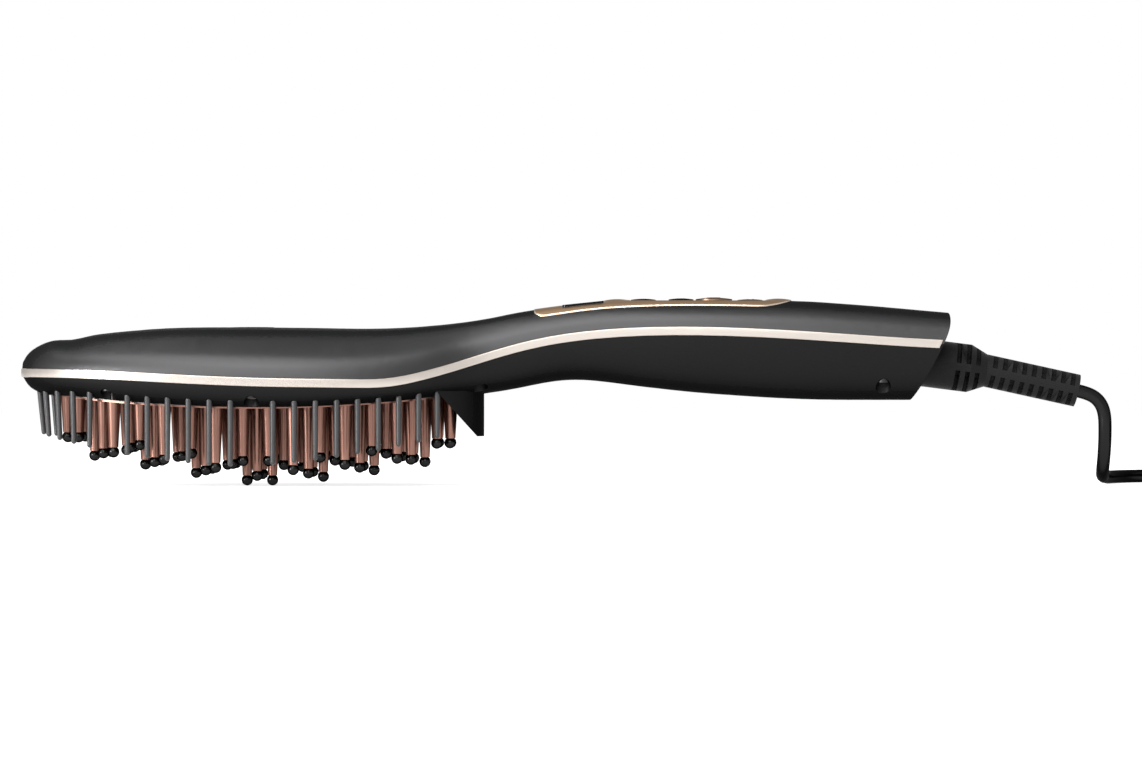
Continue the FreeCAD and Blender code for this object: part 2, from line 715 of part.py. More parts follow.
# ---- Screw pillars run through both housings and are parted with them at the seam ----
core = inset.common(in_front_of_end(0.0))
pillars = [cylinder(pillar_radius, 0, far, x, y) for x, y in screw_places()]
recesses = []
pilots = []
screws = []
for x, y in screw_places():
    seat = surface(x, y, 0, False) + recess_depth
    thread_end = height(seam_line, x) + screw_bite
    clearance = screw_radius + screw_hole_clearance
    recesses.append(turned([[(0, 0), (recess_radius, 0)], [(recess_radius, 0), (recess_radius, seat)],
                            [(recess_radius, seat), (clearance, seat)],
                            [(clearance, seat), (clearance, thread_end)],
                            [(clearance, thread_end), (0, thread_end)], [(0, thread_end), (0, 0)]], x, y))
    pilots.append(cylinder(screw_radius, seat, thread_end, x, y))
    head = cylinder(screw_head_radius, seat - screw_head_height, seat, x, y)
    shank = cylinder(screw_radius, seat, thread_end, x, y)
    slot = box(x - 1.2, x + 1.2, y - 0.3, y + 0.3, seat - screw_head_height - 1, seat - 0.7)
    cross = box(x - 0.3, x + 0.3, y - 1.2, y + 1.2, seat - screw_head_height - 1, seat - 0.7)
    screws.append(head.fuse(shank).cut(slot.fuse(cross)))
nodes["housing_screws"] = Part.makeCompound(screws)

# ---- Boot: collar, taper and ribbed sleeve ----
exit_point = Vector(boot_exit[0], 0, tooth_reach + boot_exit[1])
collar_way = Vector(math.cos(math.radians(boot_tilt)), 0, -math.sin(math.radians(boot_tilt)))
sleeve_way = Vector(math.cos(math.radians(sleeve_tilt)), 0, -math.sin(math.radians(sleeve_tilt)))
taper_start = exit_point + collar_way * collar_end
taper_end = taper_start + collar_way * collar_taper
sleeve_end = taper_end + sleeve_way * sleeve_length
boot_rear = sleeve_end.x - sleeve_radius * sleeve_way.z
origin_x = (boot_rear - proud) / 2


def boot_slot_ring(centre, way, outer):
    """Four slots round the boot, parted by a rib above, below and at each side."""
    ring = Part.makeCylinder(outer, boot_slot_width, centre, way)
    ring = ring.cut(Part.makeCylinder(boot_core_radius, boot_slot_width, centre, way))
    rib = Part.makeBox(boot_slot_width + 2, boot_rib, 4 * outer, Vector(-1, -boot_rib / 2, -2 * outer))
    ribs = rib.fuse(rib.rotated(Vector(0, 0, 0), Vector(1, 0, 0), 90))
    ribs.rotate(Vector(0, 0, 0), Vector(0, 1, 0), math.degrees(math.atan2(-way.z, way.x)))
    ribs.translate(centre)
    return ring.cut(ribs)


def make_boot():
    inner_end = exit_point - collar_way * 26
    collar = Part.makeCylinder(collar_radius, 26 + collar_end, inner_end, collar_way)
    stop = Part.makeCylinder(boot_flange_radius, 26, inner_end, collar_way)
    stop = stop.common(in_front_of_end(end_wall + seat_clearance)).common(cavity)
    boot = join([collar, stop,
                 Part.makeCone(collar_radius, sleeve_radius, collar_taper, taper_start, collar_way),
                 Part.makeSphere(sleeve_radius, taper_end),
                 Part.makeCylinder(sleeve_radius, sleeve_length, taper_end, sleeve_way)])
    boot = boot.cut(in_front_of_end(end_wall + 3.0))
    slots = [boot_slot_ring(exit_point + collar_way * (1.2 + boot_slot_pitch * i), collar_way,
                            collar_radius + 1) for i in range(3)]
    slots += [boot_slot_ring(taper_end + sleeve_way * (boot_slot_width + boot_slot_pitch * i), sleeve_way,
                             sleeve_radius + 2) for i in range(boot_slots)]
    return boot.cut(Part.makeCompound(slots))


nodes["cord_boot"] = make_boot()
boot_bore = Part.makeCylinder(collar_radius + seat_clearance, 60, exit_point - collar_way * 20, collar_way)

# ---- Trim band and the two housings ----
band_end = in_front_of_end(0.8)
groove_block = seam_block(-band_height / 2 - seat_clearance, band_height / 2 + seat_clearance)
groove = groove_block.cut(inset).common(in_front_of_end(0.8 - seat_clearance))
band_block = seam_block(-band_height / 2, band_height / 2)
nodes["trim_band"] = raised.cut(inset).common(band_block).common(band_end)


def rounded_plan(front, rear, half, front_corner, rear_corner):
    """Plan outline with elliptical front and rear corners, as an upright block above the board."""
    low = tooth_reach + board_top
    corners = []
    quarter = math.sqrt(0.5)
    for x, reach, way in ((front + front_corner, front_corner, -1), (rear - rear_corner, rear_corner, 1)):
        for sign in (-1, 1):
            corners.append([Vector(x, sign * half, low),
                            Vector(x + way * reach * quarter, sign * (half - reach * (1 - quarter)), low),
                            Vector(x + way * reach, sign * (half - reach), low)])
    edges = [Part.Arc(*corner).toShape() for corner in corners]
    edges.append(Part.makeLine(corners[0][0], corners[2][0]))
    edges.append(Part.makeLine(corners[1][0], corners[3][0]))
    edges.append(Part.makeLine(corners[0][2], corners[1][2]))
    if half > rear_corner:
        edges.append(Part.makeLine(corners[2][2], corners[3][2]))
    return Part.Face(Part.Wire(Part.__sortEdges__(edges))).extrude(Vector(0, 0, far))


panel_block = rounded_plan(panel_front, panel_rear, panel_half_width, panel_front_corner,
                           panel_rear_corner)
panel_seat = rounded_plan(panel_front - seat_clearance, panel_rear + seat_clearance,
                          panel_half_width + seat_clearance, panel_front_corner, panel_rear_corner)
display_rear = display_front + display_length
lens_block = rounded_plan(display_front, display_rear, display_width / 2, display_corner, display_corner)
lens_seat = rounded_plan(display_front - seat_clearance, display_rear + seat_clearance,
                         display_width / 2 + seat_clearance, display_corner, display_corner)
lens_opening = rounded_plan(display_front + display_ledge, display_rear - display_ledge,
                            display_width / 2 - display_ledge, display_corner, display_corner)


def make_lens():
    """Flat display window, level with the panel's crown at its two ends."""
    front = side(display_front, height(top_line, display_front) + proud)
    rear = side(display_rear, height(top_line, display_rear) + proud)
    low = Vector(0, 0, -far / 2)
    under = slab([Part.makeLine(front, rear), Part.makeLine(rear, rear + low),
                  Part.makeLine(rear + low, front + low), Part.makeLine(front + low, front)])
    return lens_block.common(under).cut(inset)


def make_panel():
    """Trim panel with a flat deck for the buttons and a low swelling at each end of it."""
    panel = raised.common(panel_block)
    for x in panel_swellings:
        top = height(top_line, x) + proud + swelling_rise
        radius = (swelling_reach**2 + swelling_rise**2) / (2 * swelling_rise)
        panel = panel.fuse(Part.makeSphere(radius, Vector(x, 0, top - radius)).common(panel_block))
    front, rear = panel_swellings
    deck = height(top_line, (front + rear) / 2) + proud - deck_drop
    panel = panel.cut(box(front + swelling_reach, rear - swelling_reach, -far, far, deck, far))
    return panel.cut(inset).cut(Part.makeCompound([lens_seat] + button_holes))


button_holes = [cylinder(radius + button_gap, tooth_reach + board_top, far, x)
                for x, radius, rise in buttons.values()]
nodes["display_window"] = make_lens()
nodes["control_panel"] = make_panel()

board_top_z = tooth_reach + board_top
above = seam_block(0, far)
below = seam_block(-far, 0)
upper_posts = [cylinder(board_post_radius, board_top_z, far, x) for x in board_posts]
post_holes = [cylinder(screw_radius, board_top_z - 1, board_top_z + 4, x) for x in board_posts]
neck_hole = cylinder(neck_radius + seat_clearance, tooth_reach + plate_top + 6, far, filler_place)
filler_recess = cylinder(filler_radius + button_gap, height(top_line, filler_place) - filler_depth, far,
                         filler_place)
upper_columns = [column.common(above).common(core) for column in pillars + upper_posts]
upper = shell.common(above).cut(groove).multiFuse(upper_columns)
upper = upper.cut(Part.makeCompound(pilots + post_holes)).cut(panel_seat.cut(inset))
upper = upper.cut(Part.makeCompound([lens_opening] + button_holes))
nodes["upper_housing"] = upper.cut(neck_hole.fuse(filler_recess)).cut(boot_bore)


def make_guard():
    """Wall that stands down from the rear of the bristle ring, with a sloping front edge."""
    tip = tooth_reach - guard_tip
    wall_ring = oval_ring(guard_thickness / 2, -guard_thickness / 2, tip, height(seam_line, guard_start))
    root = tooth_reach + 5.4
    slope = slab([Part.makeLine(side(guard_start, root), side(guard_foot, tip)),
                  Part.makeLine(side(guard_foot, tip), side(body_rear, tip)),
                  Part.makeLine(side(body_rear, tip), side(body_rear, root)),
                  Part.makeLine(side(body_rear, root), side(guard_start, root))])
    return wall_ring.common(slope)


grip_axis = exit_point - collar_way * ((exit_point.x - grip_place) / collar_way.x)
grip_seat = grip_axis.z + 0.4
grip_posts = [cylinder(2.6, 0, grip_seat, grip_place, y) for y in (-grip_post_y, grip_post_y)]
grip_holes = [cylinder(screw_radius, grip_seat - 6, grip_seat + 1, grip_place, y)
              for y in (-grip_post_y, grip_post_y)]
window = oval(-plate_inset + frame_fit + frame_thickness + frame_fit, 0, rail_bottom)
lower_columns = [column.common(below).common(core) for column in pillars + grip_posts]
lower = shell.common(below).cut(groove).fuse(make_guard()).multiFuse(lower_columns).cut(window)
lower = lower.cut(Part.makeCompound(recesses + grip_holes)).cut(Part.makeCompound(bristle_holes()))
nodes["lower_housing"] = lower.cut(boot_bore)

# ---- Head: plate, frame, teeth, bristles and what lies above them ----
nodes["heater_plate"] = make_plate()
frame_top = rail_bottom - flange_thickness
frame = oval_ring(-plate_inset + frame_fit + frame_thickness, -plate_inset + frame_fit, tooth_reach,
                  frame_top).cut(under_plate_block().translated(Vector(0, 0, frame_edge)))
frame_lip = oval_ring(-plate_inset + plate_flange, -plate_inset + frame_fit, tooth_reach, frame_top)
frame_lip = frame_lip.common(cavity).cut(Part.makeCompound(
    [cylinder(pillar_radius + 2 * seat_clearance, 0, far, x, y) for x, y in screw_places()]))
nodes["plate_frame"] = frame.fuse(frame_lip)
nodes["heating_teeth"], nodes["tooth_tips"] = make_teeth()
nodes["guard_bristles"] = Part.makeCompound([pin(x, y, tip, lean, bristle_radius, bristle_tip_radius)
                                             for x, y, tip, lean in bristle_frames()])
rail = oval_ring(1.2, -2.8, rail_bottom, rail_bottom + 2.0).common(cavity)
nodes["bristle_rail"] = rail.cut(Part.makeCompound(
    [cylinder(pillar_radius + layer_gap, 0, far, x, y) for x, y in screw_places()]))
make_water_system(make_heater_stack())

# ---- Controls ----
board_bottom = board_top_z - board_thickness
board = box(board_front, board_front + board_length, -board_width / 2, board_width / 2, board_bottom,
            board_top_z)
board_screws = []
for x in board_posts:
    board = board.cut(cylinder(screw_radius + screw_hole_clearance, 0, far, x))
    board_screws.append(cylinder(screw_head_radius, board_bottom - 1.3, board_bottom, x).fuse(
        cylinder(screw_radius, board_bottom, board_top_z + 4, x)))
nodes["control_board"] = board
nodes["board_screws"] = Part.makeCompound(board_screws)
nodes["display_module"] = box(display_front + 0.7, display_rear - 0.7, -display_width / 2 + 1,
                              display_width / 2 - 1, board_top_z, board_top_z + display_height)
switches = []
switch_top = board_top_z + switch_height + plunger_height
for name, (x, radius, rise) in buttons.items():
    half = switch_size / 2
    case = box(x - half, x + half, -half, half, board_top_z, board_top_z + switch_height)
    switches.append(case.fuse(cylinder(1.2, board_top_z + switch_height, switch_top, x)))
    top = height(top_line, x) + rise
    edge = height(top_line, x) + rise / 3
    lip = radius + button_lip
    lip_top = surface(x, lip, -wall, True) - button_lip_gap
    lip_bottom = lip_top - button_lip_thickness
    stem_end = switch_top + button_travel + 0.1
    crown_radius = (radius**2 + (top - edge)**2) / (2 * (top - edge))
    crown = top - crown_radius + math.sqrt(crown_radius**2 - radius**2 / 4)
    button = turned([[(0, stem_end), (button_stem_radius, stem_end)],
                     [(button_stem_radius, stem_end), (button_stem_radius, lip_bottom)],
                     [(button_stem_radius, lip_bottom), (lip, lip_bottom)],
                     [(lip, lip_bottom), (lip, lip_top)], [(lip, lip_top), (radius, lip_top)],
                     [(radius, lip_top), (radius, edge)],
                     [(radius, edge), (radius / 2, crown), (0, top)], [(0, top), (0, stem_end)]], x)
    nodes[name] = button.common(box(x - radius, x + radius, -lip, lip, 0, far))  # lip on two sides only
nodes["button_switches"] = Part.makeCompound(switches)

# ---- Inner leads and the cord grip ----
bar_x, bar_y, bar_z = grip_bar
bar = box(grip_place - bar_x / 2, grip_place + bar_x / 2, -bar_y / 2, bar_y / 2, grip_seat,
          grip_seat + bar_z)
stub_start = exit_point - collar_way * cord_stub
stub = Part.makeCylinder(cord_diameter / 2, cord_stub, stub_start, collar_way).cut(nodes["cord_boot"])
stub = stub.common(in_front_of_end(end_wall))
bar = bar.cut(Part.makeCylinder(cord_diameter / 2, 60, exit_point - collar_way * 50, collar_way))
grip_screws = []
for y in (-grip_post_y, grip_post_y):
    bar = bar.cut(cylinder(screw_radius + screw_hole_clearance, 0, far, grip_place, y))
    grip_screws.append(cylinder(screw_head_radius, grip_seat + bar_z, grip_seat + bar_z + 1.4, grip_place,
                                y).fuse(cylinder(screw_radius, grip_seat - 6, grip_seat + bar_z,
                                                 grip_place, y)))
nodes["cord_grip"] = bar
nodes["grip_screws"] = Part.makeCompound(grip_screws)
mains = [stub]
for y in (-1.0, 1.0):
    mains.append(tube([(stub_start.x, y, stub_start.z), (stub_start.x - 3.5, 1.4 * y, stub_start.z + 0.6),
                       (stub_start.x - 7.5, 2.5 * y, board_bottom - 2.4),
                       (stub_start.x - 12, 3 * y, board_bottom - lead_radius)], lead_radius, 0.4))
nodes["mains_leads"] = Part.makeCompound(mains)
heater_end = oval_centre + clamp_half
leads = []
for y in (-6.0, 6.0):
    leads.append(tube([(board_front + 4, y, board_bottom - lead_radius),
                       (board_front - 6, y, board_bottom - 1.6), (in_head(0.985), y, pocket_z + 13),
                       (in_head(0.93), y, pocket_z + 6.5), (in_head(0.875), y, pocket_z + 3.6),
                       (in_head(0.81), y, pocket_z + 1.6), (heater_end, y, pocket_z + 1.5)],
                      lead_radius, 0.4))
nodes["heater_leads"] = Part.makeCompound(leads)

# ---- Cord, coil, tie and plug ----
boot_run = [tuple(sleeve_end), tuple(sleeve_end + sleeve_way * cord_first_run)]
nodes["cord_run"], run_length = cord_tube("cord_run", boot_run + run_route)
nodes["cord_tail"], tail_length = cord_tube("cord_tail", tail_route)
coil_half = coil_rows * cord_diameter / 2
coil_height = coil_layers * cord_diameter
corner = cord_diameter / 2
profile = Part.makeBox(2 * coil_half, 1, coil_height, Vector(coil_radius - coil_half, 0, 0))
ring_face = [face for face in profile.Faces if abs(face.CenterOfMass.y) < 1e-6][0]
ring_solid = ring_face.revolve(Vector(0, 0, 0), Vector(0, 0, 1), 360)
ring_solid = ring_solid.makeFillet(corner * 0.9, ring_solid.Edges)
ring_solid.translate(Vector(coil_centre[0], coil_centre[1], 0))
nodes["cord_coil"] = ring_solid
print("cord length", round(run_length + tail_length + coil_turns * 2 * math.pi * coil_radius))

tie_x = coil_centre[0] - coil_radius
tie_half = coil_half + tie_thickness
outer_tie = box(tie_x - tie_half, tie_x + tie_half, coil_centre[1] - tie_width / 2,
                coil_centre[1] + tie_width / 2, 0, coil_height + tie_thickness)
inner_tie = box(tie_x - coil_half, tie_x + coil_half, coil_centre[1] - tie_width,
                coil_centre[1] + tie_width, tie_thickness, coil_height)
nodes["cord_tie"] = outer_tie.cut(inner_tie)


def plug_outline(place, half_wide, half_tall, corner_radius):
    """Rounded rectangle across the plug's axis."""
    block = box(-half_wide, half_wide, place - 1, place, -half_tall, half_tall)
    block = block.makeFillet(corner_radius, [edge for edge in block.Edges if abs(
        edge.tangentAt(edge.FirstParameter).y) > 0.9])
    ends = [face for face in block.Faces if abs(face.CenterOfMass.y - place) < 1e-6]
    return ends[0].OuterWire


def make_plug():
    """Flat two-pin plug, its cord end towards +Y and its pins towards -Y, lying on its wide side."""
    half = plug_thickness / 2
    wires = [plug_outline(0, plug_neck_radius, plug_neck_radius, plug_neck_radius * 0.9),
             plug_outline(-plug_length * 0.28, plug_neck_radius + 1.1, plug_neck_radius + 0.7,
                          plug_neck_radius),
             plug_outline(-plug_length * 0.6, plug_width * 0.35, half * 0.85, half * 0.68),
             plug_outline(-plug_length, plug_width / 2, half, half * 0.8)]
    plug = Part.makeLoft(wires, True, False, False)
    pins = []
    for x in (-pin_spacing / 2, pin_spacing / 2):
        pins.append(Part.makeCylinder(pin_radius, pin_length, Vector(x, -plug_length, 0), Vector(0, -1, 0)))
    return plug, Part.makeCompound(pins)


plug, pins = make_plug()
plug_place_z = plug_thickness / 2
for name, shape in (("plug_body", plug), ("plug_pins", pins)):
    shape.translate(Vector(plug_place[0], plug_place[1], plug_place_z))
    nodes[name] = shape

# ---- Move to the part's own origin and write one file for each node ----
print("overall length", round(boot_rear + proud, 3), "origin", round(origin_x, 3), boot_run)
for name, shape in nodes.items():
    shape.translate(Vector(-origin_x, 0, 0))
    bounds = shape.optimalBoundingBox(True, False)
    print(name, len(shape.Solids), shape.isValid(), round(shape.Volume, 1),
          [round(v, 2) for v in (bounds.XMin, bounds.YMin, bounds.ZMin, bounds.XMax, bounds.YMax,
                                 bounds.ZMax)])
    shape.exportStep("parts/" + name + ".step")
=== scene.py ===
import math

import bmesh
import bpy
from mathutils import Matrix, Vector


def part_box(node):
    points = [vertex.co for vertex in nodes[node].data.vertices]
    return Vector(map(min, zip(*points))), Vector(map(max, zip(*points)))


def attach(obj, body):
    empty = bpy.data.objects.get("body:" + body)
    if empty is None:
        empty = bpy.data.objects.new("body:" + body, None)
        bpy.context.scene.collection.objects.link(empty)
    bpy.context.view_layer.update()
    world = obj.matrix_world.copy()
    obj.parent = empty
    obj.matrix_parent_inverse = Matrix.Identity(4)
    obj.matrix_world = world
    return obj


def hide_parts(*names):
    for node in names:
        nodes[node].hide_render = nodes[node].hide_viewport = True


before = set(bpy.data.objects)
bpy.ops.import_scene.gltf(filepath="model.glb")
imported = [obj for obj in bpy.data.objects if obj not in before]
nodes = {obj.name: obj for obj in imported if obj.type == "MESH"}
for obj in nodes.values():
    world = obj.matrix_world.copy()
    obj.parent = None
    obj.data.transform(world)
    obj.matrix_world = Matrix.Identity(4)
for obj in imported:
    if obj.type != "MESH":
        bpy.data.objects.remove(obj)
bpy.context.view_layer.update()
scene = bpy.context.scene
scene.view_settings.view_transform = "Standard"
print("frame loaded:", len(nodes), "nodes")

# The camera is level with the middle of the brush and square to its side.
viewpoint = {
    "along": 0.00607,
    "height": 0.0329,
    "distance": 1.22,
    "lens": 122.7,
    "sensor": 36.0,
    "nearest": 0.05,
    "farthest": 50,
}


def addCamera(view):
    data = bpy.data.cameras.new("sideCamera")
    data.lens = view["lens"]
    data.sensor_width = view["sensor"]
    data.clip_start = view["nearest"]
    data.clip_end = view["farthest"]
    camera = bpy.data.objects.new("sideCamera", data)
    camera.location = (view["along"], -view["distance"], view["height"])
    camera.rotation_euler = (math.radians(90), 0, 0)
    scene.collection.objects.link(camera)
    scene.camera = camera


addCamera(viewpoint)
print("camera in place")

pieceFinish = {}  # the finish of each new piece, given once the materials are made


def squareBar(shape, centre, length, width, depth, turn=0.0):
    # A straight bar, lying flat, with its long side turned about Z.
    place = Matrix.Translation(centre) @ Matrix.Rotation(math.radians(turn), 4, "Z")
    bmesh.ops.create_cube(shape, size=1.0, matrix=place @ Matrix.Diagonal((length, width, depth, 1)))


def barEnd(shape, centre, radius, start, width, depth):
    # The end face that a bent bar is drawn from, at an angle in degrees round a centre.
    turn = Matrix.Rotation(math.radians(start), 4, "Z")
    upright = Matrix.Rotation(math.radians(90), 4, "X")
    place = Matrix.Translation(centre) @ turn @ Matrix.Translation((radius, 0, 0)) @ upright
    corners = bmesh.ops.create_grid(shape, x_segments=1, y_segments=1, size=0.5,
                                    matrix=place @ Matrix.Diagonal((width, depth, 1, 1)))["verts"]
    edges = list({edge for vert in corners for edge in vert.link_edges})
    faces = list({face for vert in corners for face in vert.link_faces})
    return corners + edges + faces


def bendBar(shape, end, centre, sweep, step):
    # Draws a bar on from its end, round a centre, through a sweep and in steps of so many degrees.
    return bmesh.ops.spin(shape, geom=end, cent=centre, axis=(0, 0, 1), angle=math.radians(sweep),
                          steps=round(abs(sweep) / step), use_merge=False,
                          use_duplicate=False)["geom_last"]


def finishPiece(name, shape, finish, body, place=None):
    # Closes the ends, turns the faces outwards and puts the piece on its body.
    if place is not None:
        bmesh.ops.transform(shape, matrix=place, verts=shape.verts[:])
    openEnds = [edge for edge in shape.edges if edge.is_boundary]
    if openEnds:
        bmesh.ops.holes_fill(shape, edges=openEnds, sides=4)
    bmesh.ops.recalc_face_normals(shape, faces=shape.faces[:])
    mesh = bpy.data.meshes.new(name)
    shape.to_mesh(mesh)
    shape.free()
    piece = bpy.data.objects.new(name, mesh)
    scene.collection.objects.link(piece)
    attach(piece, body)
    pieceFinish[piece] = finish
    return piece


# The mains cord leaves the boot, comes down to the table, winds into a tied coil and ends in the plug.
nose = -0.165435   # where the head begins
perMetre = 1000    # the cord's points are in millimetres from the nose
cordShape = {
    "diameter": 0.0042,
    "run": [(330.026, 0.0, 29.735), (333.835, 0.0, 28.898), (337.1, 0.0, 26.6), (338.8, 0.1, 22.9),
            (339.0, 0.4, 16.6), (339.0, 2.7, 9.7), (339.2, 8.4, 4.0), (340.6, 17.6, 2.1),
            (345.5, 28.0, 2.1), (354.5, 37.0, 2.1), (368.0, 41.5, 2.1), (386.0, 42.1, 2.1)],
    "tail": [(415.0, 42.0, 13.5), (428.0, 41.0, 10.7), (439.5, 37.6, 8.1), (448.8, 32.0, 6.95),
             (454.0, 23.0, 6.85), (454.0, 13.5, 6.85)],
    "coilCentre": (402.0, 13.5),
    "coilRadius": 24.0,
    "columns": 3,
    "layers": 4,
    "pointsPerTurn": 16,
    "crossingStart": 0.76,  # share of a turn after which the cord moves over to its next place
    "crossingSpan": 0.18,
    "roundness": 4,
    "smoothness": 6,
}


def coilPlaces(shape):
    # Column and layer of each turn, out and in again as the coil rises.
    places = []
    for layer in range(shape["layers"]):
        columns = list(range(shape["columns"]))
        if layer % 2 == 0:
            columns.reverse()
        places += [(column, layer) for column in columns]
    return places


def coilPoints(shape):
    pitch = shape["diameter"] * perMetre
    steps = shape["pointsPerTurn"]
    middle = (shape["columns"] - 1) / 2
    centre = shape["coilCentre"]
    places = coilPlaces(shape)
    # The curve takes three quarters of a point and an eighth of each neighbour, so it runs inside.
    swell = 1 / (0.75 + 0.25 * math.cos(2 * math.pi / steps))
    points = []
    for turn, place in enumerate(places):
        following = places[turn + 1] if turn + 1 < len(places) else place
        for step in range(steps):
            crossed = min(max((step / steps - shape["crossingStart"]) / shape["crossingSpan"], 0), 1)
            crossed = crossed * crossed * (3 - 2 * crossed)  # eased in and out
            column = place[0] + (following[0] - place[0]) * crossed
            layer = place[1] + (following[1] - place[1]) * crossed
            radius = shape["coilRadius"] + (column - middle) * pitch
            angle = math.pi / 2 - 2 * math.pi * step / steps
            points.append((centre[0] + radius * swell * math.cos(angle),
                           centre[1] + radius * swell * math.sin(angle),
                           pitch * (layer + 0.5)))
    points.append((centre[0], centre[1] + shape["coilRadius"] + middle * pitch,
                   pitch * (shape["layers"] - 0.5)))
    return points


def smoothCord(name, points, shape):
    curve = bpy.data.curves.new(name, "CURVE")
    curve.dimensions = "3D"
    curve.bevel_depth = 1.0  # times each point's own radius
    curve.bevel_resolution = shape["roundness"]
    curve.resolution_u = shape["smoothness"]
    curve.use_fill_caps = True
    spline = curve.splines.new("NURBS")
    spline.points.add(len(points) - 1)
    for spot, (x, y, z) in zip(spline.points, points):
        spot.co = (nose + x / perMetre, y / perMetre, z / perMetre, 1)
        spot.radius = shape["diameter"] / 2
    spline.order_u = 3
    spline.use_endpoint_u = True
    piece = bpy.data.objects.new(name, curve)
    scene.collection.objects.link(piece)
    return piece


cordPoints = cordShape["run"] + coilPoints(cordShape) + cordShape["tail"]
cordPath = sum(math.dist(before, after) for before, after in zip(cordPoints, cordPoints[1:]))
mainsCord = smoothCord("mainsCord", cordPoints, cordShape)
print("cord points:", len(cordPoints), "path through them:", round(cordPath / perMetre, 3), "m")
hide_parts("cord_run", "cord_coil", "cord_tail")
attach(mainsCord, "brush")
pieceFinish[mainsCord] = "cordRubber"

# Insulating sleeves on the roots of the plug's pins.
pinSleeves = {
    "radius": 0.00204,
    "length": 0.0098,
    "segments": 36,
    "softening": 0.0003,
    "softeningSteps": 3,
    "pinRadius": 0.002,
}


def addPinSleeves(shape):
    made = bmesh.new()
    low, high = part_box("plug_pins")
    reach = (high[0] - low[0]) / 2 - shape["pinRadius"]
    flat = Matrix.Rotation(math.radians(90), 4, "X")
    for side in (-1, 1):
        centre = ((low[0] + high[0]) / 2 + side * reach, high[1] - shape["length"] / 2,
                  (low[2] + high[2]) / 2)
        bmesh.ops.create_cone(made, cap_ends=True, segments=shape["segments"], radius1=shape["radius"],
                              radius2=shape["radius"], depth=shape["length"],
                              matrix=Matrix.Translation(centre) @ flat)
    middle = high[1] - shape["length"] / 2
    rim = [edge for edge in made.edges if all(vert.co.y < middle for vert in edge.verts)]
    bmesh.ops.bevel(made, geom=rim, offset=shape["softening"], segments=shape["softeningSteps"],
                    profile=0.5, affect="EDGES", material=-1)
    return finishPiece("plugPinSleeves", made, "blackPlastic", "brush")


sleevePiece = addPinSleeves(pinSleeves)
print("cord and plug finished")

# Plain marks on the four buttons. Shares are of the line's width or the ring's radius.
buttonMarks = {
    "line": 0.00045,
    "depth": 0.00030,
    "lift": 0.00003,
    "arm": 0.0026,
    "ring": 0.0018,
    "ringGap": 80.0,
    "stemCentreShare": 0.62,
    "stemLengthShare": 1.2,
    "wave": 0.00052,
    "wavePitch": 0.0014,
    "waveLineShare": 0.8,
    "bendStep": 12,
}


def markPlace(node, lift, depth):
    # Centred on the top of a node, with the mark's own up towards the head.
    low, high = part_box(node)
    centre = ((low[0] + high[0]) / 2, (low[1] + high[1]) / 2, high[2] + lift - depth / 2)
    return Matrix.Translation(centre) @ Matrix.Rotation(math.radians(90), 4, "Z")


def addButtonMark(node, name, finish, draw):
    made = bmesh.new()
    draw(made, buttonMarks)
    place = markPlace(node, buttonMarks["lift"], buttonMarks["depth"])
    return finishPiece(name, made, finish, node, place)


def drawMinus(made, mark):
    squareBar(made, (0, 0, 0), mark["arm"], mark["line"], mark["depth"])


def drawPlus(made, mark):
    half = (mark["arm"] - mark["line"]) / 2
    squareBar(made, (0, 0, 0), mark["arm"], mark["line"], mark["depth"])
    for side in (-1, 1):
        squareBar(made, (0, side * (mark["line"] + half) / 2, 0), mark["line"], half, mark["depth"])


def drawPower(made, mark):
    gap = mark["ringGap"]
    end = barEnd(made, (0, 0, 0), mark["ring"], 90 + gap / 2, mark["line"], mark["depth"])
    bendBar(made, end, (0, 0, 0), 360 - gap, mark["bendStep"])
    squareBar(made, (0, mark["ring"] * mark["stemCentreShare"], 0), mark["line"],
              mark["ring"] * mark["stemLengthShare"], mark["depth"])


def drawSteam(made, mark):
    for column in (-1, 0, 1):
        upper = (column * mark["wavePitch"], mark["wave"], 0)
        lower = (column * mark["wavePitch"], -mark["wave"], 0)
        end = barEnd(made, upper, mark["wave"], 90, mark["line"] * mark["waveLineShare"], mark["depth"])
        end = bendBar(made, end, upper, -180, mark["bendStep"])
        bendBar(made, end, lower, 180, mark["bendStep"])


addButtonMark("minus_button", "minusMark", "paleInk", drawMinus)
addButtonMark("plus_button", "plusMark", "paleInk", drawPlus)
addButtonMark("power_button", "powerMark", "darkInkAndShade", drawPower)
addButtonMark("steam_button", "steamMark", "paleInk", drawSteam)
print("button marks made")

# Three unlit digits under the window.
windowDigits = {
    "count": 3,
    "pitch": 0.0043,
    "height": 0.0062,
    "width": 0.0029,
    "line": 0.00055,
    "gapShare": 1.3,  # how much shorter a segment is than its side of the digit, in lines
    "depth": 0.0002,
    "lift": 0.00002,
    "rise": 0.00133,  # how much higher the window stands at its rear
}


def addWindowDigits(look):
    made = bmesh.new()
    bar = look["width"] - look["line"] * look["gapShare"]
    upright = look["height"] / 2 - look["line"] * look["gapShare"]
    for digit in range(look["count"]):
        across = (digit - (look["count"] - 1) / 2) * look["pitch"]
        for level in (-1, 0, 1):
            squareBar(made, (across, level * look["height"] / 2, 0), bar, look["line"], look["depth"])
        for level in (-1, 1):
            for side in (-1, 1):
                squareBar(made, (across + side * look["width"] / 2, level * look["height"] / 4, 0),
                          look["line"], upright, look["depth"])
    low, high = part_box("display_window")
    slope = math.atan2(look["rise"], high[0] - low[0])
    middle = high[2] - look["rise"] / 2 + look["lift"] - look["depth"] / 2
    place = Matrix.Translation(((low[0] + high[0]) / 2, 0, middle))
    place = place @ Matrix.Rotation(-slope, 4, "Y") @ Matrix.Rotation(math.radians(90), 4, "Z")
    return finishPiece("windowDigits", made, "dimSegment", "brush", place)


addWindowDigits(windowDigits)

